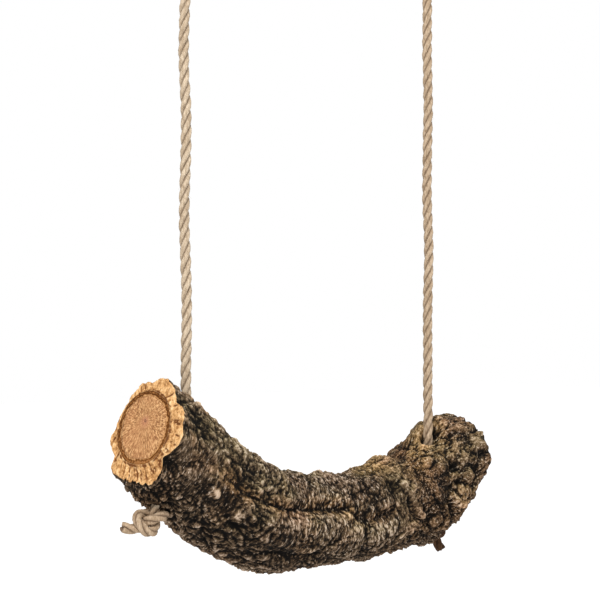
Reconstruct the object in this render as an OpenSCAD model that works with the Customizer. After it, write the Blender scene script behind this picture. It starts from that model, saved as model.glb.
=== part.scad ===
/* [Log] */
// Straight length between the middles of the two sawn ends
log_l = 282; // [200:2:420]
// Mean diameter over the bark
log_d = 72; // [62:1:100]
// How far the middle of the bow hangs below the near sawn end
log_bow = 70; // [20:1:100]
// How far the far arm wanders sideways
log_wander = 10; // [0:1:18]
// Diameter of the pale wood inside the bark
wood_d = 46.4; // [30:0.2:48]
// Thickness of the dark inner bark round the wood
inner_bark_t = 3.8; // [1.5:0.1:4.5]
// Height of the lumps and depth of the folds in the cork
bark_relief = 6; // [0:0.5:7]
// Height of the small grown bumps between the lumps
bark_ripple = 1.1; // [0:0.1:2]
// How far the pith lies off the middle of the log
pith_shift = 3; // [0:0.5:4]

/* [Rope] */
// Diameter of the three-strand rope
rope_d = 7; // [5:0.5:8]
// Free length of the near rope, from its eye knot to the log
left_run_l = 296.5; // [200:0.5:600]
// Length of the rope's cut end beyond the near stop knot
left_tail_l = 13; // [8:1:40]
// Length of the rope's cut end beyond the far stop knot
right_tail_l = 15; // [8:1:40]
// Length of the rope's cut end beyond each eye knot
eye_tail_l = 14; // [8:1:40]
// Width of a pulled-tight overhand knot
knot_w = 19; // [15:0.5:22]
// Height of the near stop knot, under the log
left_stop_knot_h = 24; // [14:0.5:26]
// Height of the far stop knot, half hidden in its seat
right_stop_knot_h = 18; // [14:0.5:26]
// Height of each eye knot
eye_knot_h = 16; // [14:0.5:26]

/* [Holes] */
// Diameter of each hole drilled through the log
hole_d = 8.5; // [8.2:0.1:10]
// Depth of the near stop knot's seat in the cork
left_knot_sink = 1.5; // [0.5:0.5:4]
// Depth of the far stop knot's seat, a hollow under the log
right_knot_sink = 9; // [2:0.5:9]

/* [Hooks] */
// Diameter of the hook's steel wire
hook_wire_d = 4; // [3:0.5:5]
// Radius of both bends, to the middle of the wire
hook_bend_r = 8; // [7:0.5:12]
// Distance between the centres of the two bends
hook_reach = 24; // [20:1:50]

/* [Motion] */
// Swing to the front and to the back, in degrees
swing_max = 30; // [10:5:40]
// Sway to either side, in degrees
sway_max = 15; // [5:1:18]

/* [Hidden] */
$fn = 48;

bark_color = "#5d4a3a";
inner_bark_color = "#6e4527";
wood_color = "#c8935f";
rope_color = "#c9b797";
steel_color = "#b9bcc0";

// Clearance between soft pieces that turn against each other
turn_gap = 0.3;
// Clearance at the far rope's foot, whose pivot the tree of joints leaves open
open_pivot_gap = 1.7;
// Hairline between the layers that grew together
bond_gap = 0.05;
// How deep each rope's turning point lies below the bark, along the hole
mouth_sink = 2;
// Height over which the mouth of each hole is worn to a funnel
mouth_h = 26;
// How much further the funnel opens than the rope sways, in degrees
mouth_spare = 5;
// How far a cut runs past the surface
overrun = 12;
// Sideways clearance of a stop knot in its seat
seat_clear = 1;

rope_r = rope_d / 2;
wire_r = hook_wire_d / 2;
mean_r = log_d / 2;

// Stations along the log: along, sideways, height, radius and the lean of the section.
// Along follows log_l, sideways log_wander, height log_bow and radius the mean radius.
station_shares = [
    [-0.496, -0.1, 1.000, 1.014, 16],
    [-0.408, -0.1, 0.729, 1.000, 28],
    [-0.277, -0.1, 0.286, 0.972, 32],
    [-0.145,  0.0, 0.043, 0.944, 16],
    [-0.043,  0.0, 0.000, 0.861,  4],
    [ 0.085,  0.0, 0.000, 0.889, -3],
    [ 0.216,  0.2, 0.107, 0.944, -12],
    [ 0.312,  0.5, 0.178, 0.955, -15],
    [ 0.408,  0.8, 0.329, 1.050, -12],
    [ 0.510,  0.9, 0.414, 0.944,  5]];

// Lumps and folds: place along, angle round, width along, width round and height.
// Angle 0 faces back, 90 up, 180 front and 270 down; height follows bark_relief.
lump_shares = [
    [0.72,  80, 0.120,  50, -0.40],
    [0.60,  80, 0.050,  40, -0.20],
    [0.42,  85, 0.160,  45,  0.30],
    [0.79,  80, 0.040,  45, -0.75],
    [0.835,  85, 0.030,  40, -0.70],
    [0.83, 260, 0.060,  40,  0.55],
    [0.05, 300, 0.050,  30,  0.30],
    [0.945,  75, 0.050,  38,  0.90],
    [0.99, 100, 0.040,  40,  0.75],
    [0.885, 118, 0.030,  20, -0.60],
    [1.00, 165, 0.050,  35,  0.85],
    [1.00, 250, 0.060,  50, -0.60],
    [0.38,  80, 0.050,  40,  0.50],
    [0.15,  75, 0.060,  40, -0.20],
    [0.28, 100, 0.030,  30,  0.35],
    [0.36, 255, 0.060,  50,  0.08],
    [0.08, 270, 0.050,  40,  0.30],
    [0.52, 262, 0.040,  40, -0.25],
    [0.60, 262, 0.050,  40,  0.10],
    [0.17, 262, 0.050,  35,  0.45],
    [0.40, 190, 0.100,  20,  0.50],
    [0.55, 205, 0.080,  18,  0.50],
    [0.72, 150, 0.050,  25,  0.35],
    [0.80, 215, 0.050,  30,  0.30],
    [0.25, 200, 0.040,  18,  0.35],
    [0.18, 160, 0.035,  16, -0.30],
    [0.20,  20, 0.050,  25,  0.45],
    [0.33, 330, 0.050,  22, -0.50],
    [0.47,  10, 0.060,  25,  0.50],
    [0.60, 335, 0.050,  20,  0.45],
    [0.70,  15, 0.050,  22, -0.50],
    [0.82, 340, 0.050,  24,  0.50],
    [0.165, 177, 0.035,   9, -0.30],
    [0.215, 172, 0.040,   9, -0.40],
    [0.285, 164, 0.045, 8.5, -0.60],
    [0.36, 157, 0.045, 8.5, -0.70],
    [0.44, 153, 0.045, 8.5, -0.75],
    [0.50, 155, 0.030,   9, -0.65],
    [0.54, 173, 0.030,   9, -0.70],
    [0.595, 176, 0.035,   9, -0.60],
    [0.38, 128, 0.100,  18,  0.30],
    [0.55, 125, 0.060,  20,  0.30],
    [0.28, 184, 0.060,  12,  0.40],
    [0.40, 176, 0.070,  12,  0.45],
    [0.49, 182, 0.035,  14,  0.40],
    [0.552, 192, 0.014,  16, -0.45],
    [0.552, 216, 0.014,  14, -0.40],
    [0.33, 216, 0.045,   8, -0.55],
    [0.41, 216, 0.045,   8, -0.55],
    [0.60, 196, 0.030,  14,  0.35],
    [0.655, 204, 0.030,  12,  0.40],
    [0.905, 202, 0.040,  15,  0.50],
    [0.84, 200, 0.016,  22, -0.50],
    [0.885, 179, 0.030,   8, -0.50],
    [0.888, 161, 0.022,   9, -0.60],
    [0.905, 149, 0.030,  10,  0.35],
    [0.975, 145, 0.030,  16,  0.30],
    [0.845, 122, 0.018,   8, -0.45],
    [0.81, 118, 0.025,  12,  0.30],
    [0.07, 126, 0.070,   9,  0.30],
    [0.05, 151, 0.040,  12, -0.30],
    [0.955, 172, 0.020,  12, -0.60],
    [0.845,  78, 0.016,  28, -0.45],
    [0.62,  90, 0.040,  28, -0.25],
    [0.175, 128, 0.025,  16,  0.45],
    [0.225, 112, 0.035,  24,  0.60],
    [0.29, 116, 0.030,  22,  0.40],
    [0.395,  84, 0.030,  28,  0.45],
    [0.44, 104, 0.030,  22,  0.40],
    [0.51,  80, 0.028,  24,  0.70],
    [0.71,  86, 0.024,  24,  0.60],
    [0.885,  54, 0.030,  22, -0.85],
    [1.00, 200, 0.040,  20, -0.90],
    [0.836, 244, 0.024,  18, -0.45],
    [0.557, 254, 0.020,  20, -0.60],
    [0.939,  98, 0.016,  12,  0.30],
    [0.952, 118, 0.016,  11,  0.35],
    [0.985, 143, 0.018,  11,  0.35],
    [0.972, 158, 0.012,   9, -0.45],
    [0.978, 172, 0.018,  11,  0.35],
    [0.791, 174, 0.015,  11,  0.45],
    [0.691, 168, 0.015,  11,  0.35],
    [0.713, 188, 0.017,  12,  0.40],
    [0.68, 176, 0.012,   9, -0.35],
    [0.836, 154, 0.016,  12,  0.35],
    [0.794, 143, 0.017,  12,  0.35],
    [0.76, 158, 0.015,  12, -0.35],
    [0.75, 200, 0.018,  14, -0.30],
    [0.645, 144, 0.020,  14, -0.30],
    [0.60, 150, 0.020,  12,  0.30]];

// The near sawn end's outline: the radius every 10 degrees round, as shares of the mean
near_rim = [1.064, 1.028, 1.017, 0.992, 0.997, 1.022, 1.019, 0.969, 0.933, 1.000, 1.039, 1.031,
    1.022, 1.000, 0.950, 1.067, 1.136, 1.114, 1.186, 1.106, 0.956, 0.839, 1.017, 1.039,
    1.053, 0.972, 0.947, 0.919, 0.922, 0.964, 1.008, 1.089, 1.139, 1.017, 1.081, 1.147];
// How far along the log that outline fades out
rim_reach = 0.06;
// Grown bumps along the log and round it, and how far their rows wander
bumps_along = 7.5;
bumps_round = 6;
// Where the two holes are drilled, as shares of the way along the log
left_hole_share = 0.082;
// Where the near hole crosses the middle of the log, as a share of the way along it
left_aim_share = 0.093;
right_hole_share = 0.889;
// The near cut is a little wider than high, which fades towards the far end
oval_share = 0.05;
oval_angle = 170;
// So is the wood in it, which lies further back than up and narrows along the log
core_oval_share = 0.09;
core_oval_angle = 3;
core_taper = 0.07;
pith_side = 1.5;

// The cork is laid out in lengths that meet on cross sections of the log
bark_lengths = 3;
// Rings and sides of the bark's outer and inner surfaces, over the whole log
bark_rings = 66;
core_rings = 15;
log_sides = 48;

// The near rope's free run, from its top pivot down, in small hand-drawn waves
left_wave = [[0, 0], [0, 0], [-0.5, 0.2], [-1, 0.4], [-0.5, 0.2], [0.2, -0.4], [0.2, -0.6], [-0.3, -0.2],
    [-0.7, 0.3], [-0.5, 0.6], [0, 0.2], [0.4, -0.3], [0.5, -0.5], [0.2, -0.2], [0, 0], [0, 0]];
// The far rope's free run, in the same way
right_wave = [[0, 0], [0, 0], [-0.4, -0.2], [-0.2, -0.5], [0.5, -0.2], [0.4, 0.3], [0.2, 0.5], [-0.4, 0.2],
    [-0.2, -0.2], [0.6, -0.4], [0.7, 0], [0.3, 0.4], [0.1, 0.3], [-0.2, -0.1], [-0.2, 0], [0, 0], [0, 0]];
// Half of the rope's eye above its knot: sideways and up, from the knot to the top
eye_route = [[3.7, 0], [4.2, 4], [6, 9], [8, 14], [8.6, 19], [7, 24], [3.8, 27], [0, 28]];
eye_top = eye_route[len(eye_route) - 1][1];
// The cut ends, as directions: near stop knot, far stop knot and eye knots
left_tail_dir = [-10, 2, 1.5];
right_tail_dir = [3.5, -3, -8.5];
eye_tail_dir = [2, -9, -3];

function unit(v) = v / norm(v);
function spline(a, b, c, d, f) =
    0.5 * (2 * b + (c - a) * f + (2 * a - 5 * b + 4 * c - d) * f * f + (3 * b - a - 3 * c + d) * f * f * f);
function point_of(t, i) = i < 0 ? 2 * t[0] - t[1] : i >= len(t) ? 2 * t[len(t) - 1] - t[len(t) - 2] : t[i];
function smooth(t, u) =
    let(n = len(t) - 1, k = min(floor(u * n), n - 1), f = u * n - k)
    spline(point_of(t, k - 1), t[k], t[k + 1], point_of(t, k + 2), f);

// The log's skin
function turn_of(a, b) = let(d = a - b) d - 360 * round(d / 360);
function hump(u, a, l) = l[4] * exp(-pow((u - l[0]) / l[2], 2) - pow(turn_of(a, l[1]) / l[3], 2));
function ripple(u, a) =
    let(v = 360 * u)
    sin(bumps_along * v + 69 * sin(2 * a + 29) + 52 * sin(5 * a + 3 * v))
        * sin(bumps_round * a + 80 * sin(2.3 * v + 40) + 46 * sin(3 * a + 5 * v));
function relief(u, a) =
    let(h = [for (l = lump_shares) hump(u, a, l)])
    bark_relief * (h * [for (x = h) 1]) + bark_ripple * ripple(u, a);
function section(u) =
    let(s = smooth(station_shares, u))
    [s[0] * log_l, s[1] * log_wander, s[2] * log_bow, s[3] * mean_r, s[4]];
function oval(u, a) = 1 + oval_share * cos(2 * (a - oval_angle)) * (1 - u);
function rim(a) =
    let(n = len(near_rim), t = (a % 360 + 360) % 360 / 360 * n, k = floor(t))
    mean_r * spline(near_rim[(k + n - 1) % n], near_rim[k], near_rim[(k + 1) % n], near_rim[(k + 2) % n], t - k);
function rim_share(u) = u < rim_reach ? (1 + cos(180 * u / rim_reach)) / 2 : 0;
function bark_r(u, a) = rim_share(u) * rim(a) + (1 - rim_share(u)) * (section(u)[3] * oval(u, a) + relief(u, a));
function core_r(u, a, r) = r * section(u)[3] / mean_r * (1 + core_oval_share * cos(2 * (a - core_oval_angle)) * (1 - u))
    * (1 - core_taper * (1 - pow(1 - u, 3)));
function up_of(u) = let(s = section(u)) [sin(s[4]), 0, cos(s[4])];
function middle(u) = let(s = section(u)) [s[0], s[1], s[2]];
function around(u, a, r) = middle(u) + r * (cos(a) * [0, 1, 0] + sin(a) * up_of(u));

// Heights below the line on which the hooks hang
seat_z = -hook_reach - hook_bend_r;
eye_top_z = seat_z + wire_r + turn_gap + rope_r;
eye_knot_z = eye_top_z - eye_top;
top_pivot_z = eye_knot_z - eye_knot_h - turn_gap - rope_r;
left_foot_z = top_pivot_z - left_run_l;

// The log is moved to where its holes come under the two ropes
function mouth(u, a) = around(u, a, bark_r(u, a) - mouth_sink);
left_mouth = mouth(left_hole_share, 90);
right_mouth_angle = 90 + asin((middle(right_hole_share)[1] - left_mouth[1])
    / (bark_r(right_hole_share, 100) - mouth_sink));
right_mouth = mouth(right_hole_share, right_mouth_angle);
log_move = [-(left_mouth[0] + right_mouth[0]) / 2, -left_mouth[1], left_foot_z - left_mouth[2]];
half_span = (right_mouth[0] - left_mouth[0]) / 2;
left_foot = left_mouth + log_move;
right_foot = [half_span, 0, right_mouth[2] + log_move[2]];
right_run_l = top_pivot_z - right_foot[2];

// Each hole runs from its mouth through the middle of the log to the knot's seat
left_dir = unit(middle(left_aim_share) + log_move - left_foot);
right_dir = unit(middle(right_hole_share) + log_move - right_foot);
function hole_depth(u, a, sink) = bark_r(u, a) + bark_r(u, a + 180) - mouth_sink - sink;
left_hole_l = hole_depth(left_hole_share, 90, left_knot_sink);
right_hole_l = hole_depth(right_hole_share, right_mouth_angle, right_knot_sink);
left_seat = left_foot + left_dir * left_hole_l;
right_seat = right_foot + right_dir * right_hole_l;

echo(seat_z = seat_z, top_pivot_z = top_pivot_z, half_span = half_span);
echo(left_foot = left_foot, right_foot = right_foot, left_seat = left_seat, right_seat = right_seat);
echo(left_dir = left_dir, right_dir = right_dir, right_run_l = right_run_l, log_move = log_move);

// Rings of points to a solid, and a pair of nested ring stacks to a sleeve
function wall(n, m, k, out) = [for (i = [0 : n - 2], j = [0 : m - 1])
    let(a = k + i * m + j, b = k + i * m + (j + 1) % m, c = b + m, d = a + m)
    each (out ? [[a, d, b], [b, d, c]] : [[a, b, d], [b, c, d]])];
module loft(rings) {
    n = len(rings);
    m = len(rings[0]);
    tips = [for (e = [rings[0], rings[n - 1]]) [for (q = [0 : 2]) [for (p = e) p[q]] * [for (p = e) 1 / m]]];
    faces = concat(wall(n, m, 0, true),
        [for (j = [0 : m - 1]) [n * m, j, (j + 1) % m]],
        [for (j = [0 : m - 1]) [n * m + 1, (n - 1) * m + (j + 1) % m, (n - 1) * m + j]]);
    polyhedron(points = concat([for (r = rings) each r], tips), faces = faces);
}
module sleeve(outer, inner) {
    m = len(outer[0]);
    k = len(outer) * m;
    last = (len(outer) - 1) * m;
    last_in = k + (len(inner) - 1) * m;
    rims = [for (j = [0 : m - 1]) let(q = (j + 1) % m) each [
        [j, q, k + q], [j, k + q, k + j],
        [last + j, last_in + q, last + q], [last + j, last_in + j, last_in + q]]];
    polyhedron(points = concat([for (r = outer) each r], [for (r = inner) each r]),
        faces = concat(wall(len(outer), m, 0, true), wall(len(inner), m, k, false), rims));
}

// A path to rings of a round tube; each end is a dome about its last point, or cut square
rope_sides = 10;
wire_sides = 12;
dome_steps = [15, 45, 70];
dome_last = len(dome_steps) - 1;
function tangent(p, i) = unit(p[min(i + 1, len(p) - 1)] - p[max(i - 1, 0)]);
function ring(c, t, ref, r, m) =
    let(e = unit(ref - (ref * t) * t), f = cross(t, e))
    [for (j = [0 : m - 1]) c + r * (cos(360 * j / m) * e + sin(360 * j / m) * f)];
function tube_rings(p, ref, r, m, domed) =
    let(n = len(p) - 1, t0 = tangent(p, 0), t1 = tangent(p, n))
    concat(
        domed ? [for (s = [dome_last : -1 : 0])
            ring(p[0] - t0 * r * sin(dome_steps[s]), t0, ref, r * cos(dome_steps[s]), m)] : [],
        [for (i = [0 : n]) ring(p[i], tangent(p, i), ref, r, m)],
        domed ? [for (s = [0 : dome_last])
            ring(p[n] + t1 * r * sin(dome_steps[s]), t1, ref, r * cos(dome_steps[s]), m)] : []);

// Rings across the log, from one share of its length to another; bark where no radius is given
function log_rings(n, from, to, r = undef) = [for (i = [round(n * from) : round(n * to)])
    [for (j = [0 : log_sides - 1])
        let(u = i / n, a = 360 * j / log_sides)
        log_move + (is_undef(r) ? around(u, a, bark_r(u, a))
            : around(u, a, core_r(u, a, r)) + pith_shift * ([0, pith_side, 0] + up_of(u)) * (1 - u))]];

module along(p, dir) {
    translate(p)
        rotate([0, acos(dir[2]), atan2(dir[1], dir[0])])
            children();
}

// A drilled hole, with the funnel at its mouth
module rope_hole(foot, dir, l) {
    along(foot, dir)
        translate([0, 0, -mouth_sink])
            cylinder(d = hole_d, h = l + mouth_sink + overrun);
    translate(foot)
        cylinder(r1 = hole_d / 2, r2 = hole_d / 2 + mouth_h * tan(sway_max + mouth_spare), h = mouth_h);
}
module rope_holes() {
    rope_hole(left_foot, left_dir, left_hole_l);
    rope_hole(right_foot, right_dir, right_hole_l);
}
module knot_seat(at, dir, h) {
    along(at, dir)
        cylinder(d = knot_w + 2 * seat_clear, h = h + overrun);
}

module cork_length(k) {
    from = k / bark_lengths;
    to = (k + 1) / bark_lengths;
    sleeve(log_rings(bark_rings, from, to), log_rings(core_rings, from, to, wood_d / 2 + inner_bark_t + bond_gap));
}
module left_cork_bark() {
    color(bark_color)
        difference() {
            cork_length(0);
            rope_hole(left_foot, left_dir, left_hole_l);
            knot_seat(left_seat, left_dir, left_stop_knot_h);
        }
}
module middle_cork_bark() {
    color(bark_color)
        cork_length(1);
}
module right_cork_bark() {
    color(bark_color)
        difference() {
            cork_length(2);
            rope_hole(right_foot, right_dir, right_hole_l);
            knot_seat(right_seat, right_dir, right_stop_knot_h);
        }
}
module inner_bark() {
    color(inner_bark_color)
        difference() {
            sleeve(log_rings(core_rings, 0, 1, wood_d / 2 + inner_bark_t),
                log_rings(core_rings, 0, 1, wood_d / 2 + bond_gap));
            rope_holes();
        }
}
module wood_core() {
    color(wood_color)
        difference() {
            loft(log_rings(core_rings, 0, 1, wood_d / 2));
            rope_holes();
        }
}

// A rope that hangs between its two pivots
module rope_run(top, l, wave) {
    n = len(wave) - 1;
    path = [for (i = [0 : n]) top + [wave[i][0], wave[i][1], -l * i / n]];
    color(rope_color)
        loft(tube_rings(path, [1, 0, 0], rope_r, rope_sides, true));
}
module left_rope() {
    rope_run([-half_span, 0, top_pivot_z], left_run_l, left_wave);
}
module right_rope() {
    rope_run([half_span, 0, top_pivot_z], right_run_l, right_wave);
}

// The stretch inside the log, from below the pivot to the stop knot
module rope_in_log(foot, dir, l, gap) {
    color(rope_color)
        along(foot + dir * (rope_r + gap), dir)
            cylinder(d = rope_d, h = l - rope_r - gap);
}
module left_rope_in_log() {
    rope_in_log(left_foot, left_dir, left_hole_l, turn_gap);
}
module right_rope_in_log() {
    rope_in_log(right_foot, right_dir, right_hole_l, open_pivot_gap);
}

// A pulled-tight overhand knot: a barrel with two slanting turns of rope round it
knot_rings = 10;
knot_sides = 16;
// Radius of the barrel's ends, and height of the turns, as shares of its radius
knot_end_share = 0.62;
turn_share = 0.1;
// How far the turns slant round the barrel over its height, in degrees
turn_slant = 160;
module knot_body(h, grow) {
    function knot_r(f, a) = knot_w / 2 * (knot_end_share + (1 - knot_end_share) * sin(180 * f))
        * (1 + turn_share * cos(2 * a + turn_slant * (f - 0.5))) + grow;
    loft([for (i = [0 : knot_rings])
        [for (j = [0 : knot_sides - 1])
            let(f = i / knot_rings, a = 360 * j / knot_sides)
            [knot_r(f, a) * cos(a), knot_r(f, a) * sin(a), h * f]]]);
}
module knot(at, dir, h) {
    color(rope_color)
        along(at, dir)
            knot_body(h, 0);
}
module left_stop_knot() {
    knot(left_seat, left_dir, left_stop_knot_h);
}
module right_stop_knot() {
    knot(right_seat, right_dir, right_stop_knot_h);
}
module left_eye_knot() {
    knot([-half_span, 0, eye_knot_z], [0, 0, -1], eye_knot_h);
}
module right_eye_knot() {
    knot([half_span, 0, eye_knot_z], [0, 0, -1], eye_knot_h);
}

// A cut rope end that leaves the side of a knot, so far down its height
tail_share = 0.6;
module knot_tail(at, dir, h, way, l) {
    reach = knot_w / 2 + l;
    color(rope_color)
        difference() {
            along(at + dir * h * tail_share, unit(way))
                cylinder(d = rope_d, h = reach);
            along(at, dir)
                knot_body(h, bond_gap);
        }
}
module left_tail() {
    knot_tail(left_seat, left_dir, left_stop_knot_h, left_tail_dir, left_tail_l);
}
module right_tail() {
    knot_tail(right_seat, right_dir, right_stop_knot_h, right_tail_dir, right_tail_l);
}
module left_eye_tail() {
    knot_tail([-half_span, 0, eye_knot_z], [0, 0, -1], eye_knot_h, eye_tail_dir, eye_tail_l);
}
module right_eye_tail() {
    knot_tail([half_span, 0, eye_knot_z], [0, 0, -1], eye_knot_h, eye_tail_dir, eye_tail_l);
}

// The rope's eye, which hangs in the hook's lower bend
module eye(x) {
    k = len(eye_route) - 1;
    half = [for (p = eye_route) [x, p[0], eye_knot_z + p[1]]];
    other = [for (i = [k - 1 : -1 : 0]) [x, -eye_route[i][0], eye_knot_z + eye_route[i][1]]];
    route = concat(half, other);
    steps = 3 * (len(route) - 1);
    path = [for (i = [0 : steps]) smooth(route, i / steps)];
    color(rope_color)
        loft(tube_rings(path, [1, 0, 0], rope_r, rope_sides, false));
}
module left_eye() {
    eye(-half_span);
}
module right_eye() {
    eye(half_span);
}

// A wire hook bent to an S: two bends, the slanting shank between them and round tips
shank_angle = asin(2 * hook_bend_r / hook_reach);
tip_angle = 10;
bend_steps = 14;
function bend_at(i) =
    let(a = tip_angle + (180 + shank_angle - tip_angle) * i / bend_steps)
    hook_bend_r * [cos(a), 0, sin(a)];
module hook(x) {
    upper = [for (i = [0 : bend_steps]) [x, 0, 0] + bend_at(i)];
    lower = [for (i = [bend_steps : -1 : 0]) [x, 0, -hook_reach] - bend_at(i)];
    color(steel_color)
        loft(tube_rings(concat(upper, lower), [0, 1, 0], wire_r, wire_sides, true));
}
module left_hook() {
    hook(-half_span);
}
module right_hook() {
    hook(half_span);
}

left_cork_bark();
middle_cork_bark();
right_cork_bark();
inner_bark();
wood_core();
left_rope();
right_rope();
left_rope_in_log();
right_rope_in_log();
left_stop_knot();
right_stop_knot();
left_tail();
right_tail();
left_eye();
right_eye();
left_eye_knot();
right_eye_knot();
left_eye_tail();
right_eye_tail();
left_hook();
right_hook();
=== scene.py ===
import math

import bpy
import numpy as np
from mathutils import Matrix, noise


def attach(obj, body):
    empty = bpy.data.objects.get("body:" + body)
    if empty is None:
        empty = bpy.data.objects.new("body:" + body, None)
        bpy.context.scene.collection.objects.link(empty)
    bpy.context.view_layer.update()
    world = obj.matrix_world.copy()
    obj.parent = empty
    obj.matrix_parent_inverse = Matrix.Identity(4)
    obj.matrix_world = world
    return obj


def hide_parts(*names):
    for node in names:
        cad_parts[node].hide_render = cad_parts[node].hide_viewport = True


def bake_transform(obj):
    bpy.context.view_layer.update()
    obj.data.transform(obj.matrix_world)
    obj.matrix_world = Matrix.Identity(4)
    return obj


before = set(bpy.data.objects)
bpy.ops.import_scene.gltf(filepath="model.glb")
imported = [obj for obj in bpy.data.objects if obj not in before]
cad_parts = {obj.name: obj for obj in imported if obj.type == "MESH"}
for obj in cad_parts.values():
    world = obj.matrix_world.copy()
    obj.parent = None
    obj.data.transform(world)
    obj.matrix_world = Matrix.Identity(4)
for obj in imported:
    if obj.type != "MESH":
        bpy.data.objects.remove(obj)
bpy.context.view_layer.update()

# The studio: a white floor well below the hanging swing, one broad soft lamp high on the left,
# two weaker ones on the right and in front, and a camera level with the middle of the ropes,
# 38 degrees round from square to them.
studio = bpy.context.scene
studio.view_settings.view_transform = "Standard"
view_turn, view_roll = math.radians(38), math.radians(0.1)
camera_data = bpy.data.cameras.new("camera")
camera_data.sensor_width = 36
camera_data.lens = 107.7


def placed(name, data):
    """An object with that data, in the scene."""
    made = bpy.data.objects.new(name, data)
    studio.collection.objects.link(made)
    return made


camera = placed("camera", camera_data)
camera.location = (-0.7849, -0.9896, -0.3)
camera.rotation_euler = (math.pi / 2, view_roll, -view_turn)
studio.camera = camera


def new_material(name):
    material = bpy.data.materials.new(name)
    material.use_nodes = True
    material.node_tree.nodes.clear()
    return material, material.node_tree


def add(tree, kind, sockets=(), **settings):
    """A node of that kind. Sockets are (name or number, value or another node's output)."""
    made = tree.nodes.new(kind)
    for setting, value in settings.items():
        setattr(made, setting, value)
    for socket, value in sockets:
        if isinstance(value, bpy.types.NodeSocket):
            tree.links.new(value, made.inputs[socket])
        else:
            made.inputs[socket].default_value = value
    return made


def maths(tree, kind, *values):
    """One sum of values, each a number or another node's output."""
    return add(tree, "ShaderNodeMath", enumerate(values), operation=kind).outputs[0]


def sees_backdrop(tree):
    """1 for rays that should meet plain white: from the camera, from a gloss or through glass."""
    ray = add(tree, "ShaderNodeLightPath").outputs
    either = maths(tree, "MAXIMUM", ray["Is Camera Ray"], ray["Is Glossy Ray"])
    return maths(tree, "MAXIMUM", either, ray["Is Transmission Ray"])


white = (1, 1, 1, 1)
world = bpy.data.worlds.new("studio_air")
world.use_nodes = True
air = world.node_tree
air.nodes.clear()
fill_light = add(air, "ShaderNodeBackground", [("Color", (0.97, 0.98, 1, 1)), ("Strength", 0.5)])
backdrop = add(air, "ShaderNodeBackground", [("Color", white), ("Strength", 1)])
seen = add(air, "ShaderNodeMixShader", [
    (0, sees_backdrop(air)), (1, fill_light.outputs[0]), (2, backdrop.outputs[0])])
add(air, "ShaderNodeOutputWorld", [("Surface", seen.outputs[0])])
studio.world = world

paper, tree = new_material("white_floor")
matt = add(tree, "ShaderNodeBsdfPrincipled", [("Base Color", (0.88, 0.88, 0.88, 1)), ("Roughness", 0.9)])
lift = add(tree, "ShaderNodeEmission", [("Color", white), ("Strength", 0.62)])
lifted = add(tree, "ShaderNodeAddShader", [(0, matt.outputs[0]), (1, lift.outputs[0])])
seen = add(tree, "ShaderNodeMixShader", [
    (0, sees_backdrop(tree)), (1, matt.outputs[0]), (2, lifted.outputs[0])])
add(tree, "ShaderNodeOutputMaterial", [("Surface", seen.outputs[0])])
floor_half, floor_z = 9, -0.95
floor_mesh = bpy.data.meshes.new("floor")
corners = [(x * floor_half, y * floor_half, floor_z) for x, y in ((-1, -1), (1, -1), (1, 1), (-1, 1))]
floor_mesh.from_pydata(corners, [], [(0, 1, 2, 3)])
floor_mesh.materials.append(paper)
floor = placed("floor", floor_mesh)

lamps_aim_at = np.array([0, 0, -0.42])
for name, place, size, power in (
        ("key", (-1.3, -1.1, 1.25), 0.9, 42), ("rim", (1.6, -0.8, 0.7), 0.9, 9),
        ("front", (-0.9, -1.9, -0.1), 1.2, 9)):
    lamp = bpy.data.lights.new(name, "AREA")
    lamp.size = size
    lamp.energy = power
    holder = placed(name, lamp)
    holder.location = place
    aim = lamps_aim_at - np.array(place)
    tilt, heading = math.acos(-aim[2] / np.linalg.norm(aim)), math.atan2(aim[1], aim[0])
    holder.rotation_euler = (tilt, 0, heading - math.pi / 2)

# The two ropes: 7 mm three-strand rope of undyed natural fibre, strands laid so that the
# grooves run down to the right. Each hangs from the knot of its eye and runs into the hole
# in the log, with loose fibres standing off it. They are made in millimetres.
MM = 0.001
rope_r = 3.5
rope_lay, yarn_lay = 29, 19
strand_share, strand_press = 0.5, 1.06
strand_sides = 18
yarn_depth, yarn_rough = 0.07, 0.035
play, play_every = 0.05, 4
frayed_l = 13
fibre_r = (0.045, 0.085)
fibre_faces = [[r + k, r + (k + 1) % 3, r + 3 + (k + 1) % 3, r + 3 + k] for r in (0, 3) for k in range(3)]
fibre_faces += [[2, 1, 0], [6, 7, 8]]
half_span = 108.412
top_pivot_z = -74
left_run_l, right_run_l = 296.5, 327.988
# How far each rope wanders sideways and back at even steps down its free run
left_wave = [[0, 0], [0, 0], [-0.5, 0.2], [-1, 0.4], [-0.5, 0.2], [0.2, -0.4], [0.2, -0.6], [-0.3, -0.2],
             [-0.7, 0.3], [-0.5, 0.6], [0, 0.2], [0.4, -0.3], [0.5, -0.5], [0.2, -0.2], [0, 0], [0, 0]]
right_wave = [[0, 0], [0, 0], [-0.4, -0.2], [-0.2, -0.5], [0.5, -0.2], [0.4, 0.3], [0.2, 0.5], [-0.4, 0.2],
              [-0.2, -0.2], [0.6, -0.4], [0.7, 0], [0.3, 0.4], [0.1, 0.3], [-0.2, -0.1], [-0.2, 0], [0, 0],
              [0, 0]]


def unit(v):
    return v / np.linalg.norm(v, axis=-1, keepdims=True)


def lengths_along(path):
    """How far along the path each of its points is."""
    return np.concatenate([[0], np.cumsum(np.linalg.norm(np.diff(path, axis=0), axis=1))])


def spline(a, b, c, d, f):
    """The smooth curve's place at a share of the way from b to c."""
    bend, twist = 2 * a - 5 * b + 4 * c - d, 3 * b - a - 3 * c + d
    return 0.5 * (2 * b + (c - a) * f + bend * f ** 2 + twist * f ** 3)


def spaced(path, count):
    """That many points at even steps along a path."""
    along = lengths_along(path)
    even = np.linspace(0, along[-1], count)
    return np.stack([np.interp(even, along, path[:, k]) for k in range(3)], 1)


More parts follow.
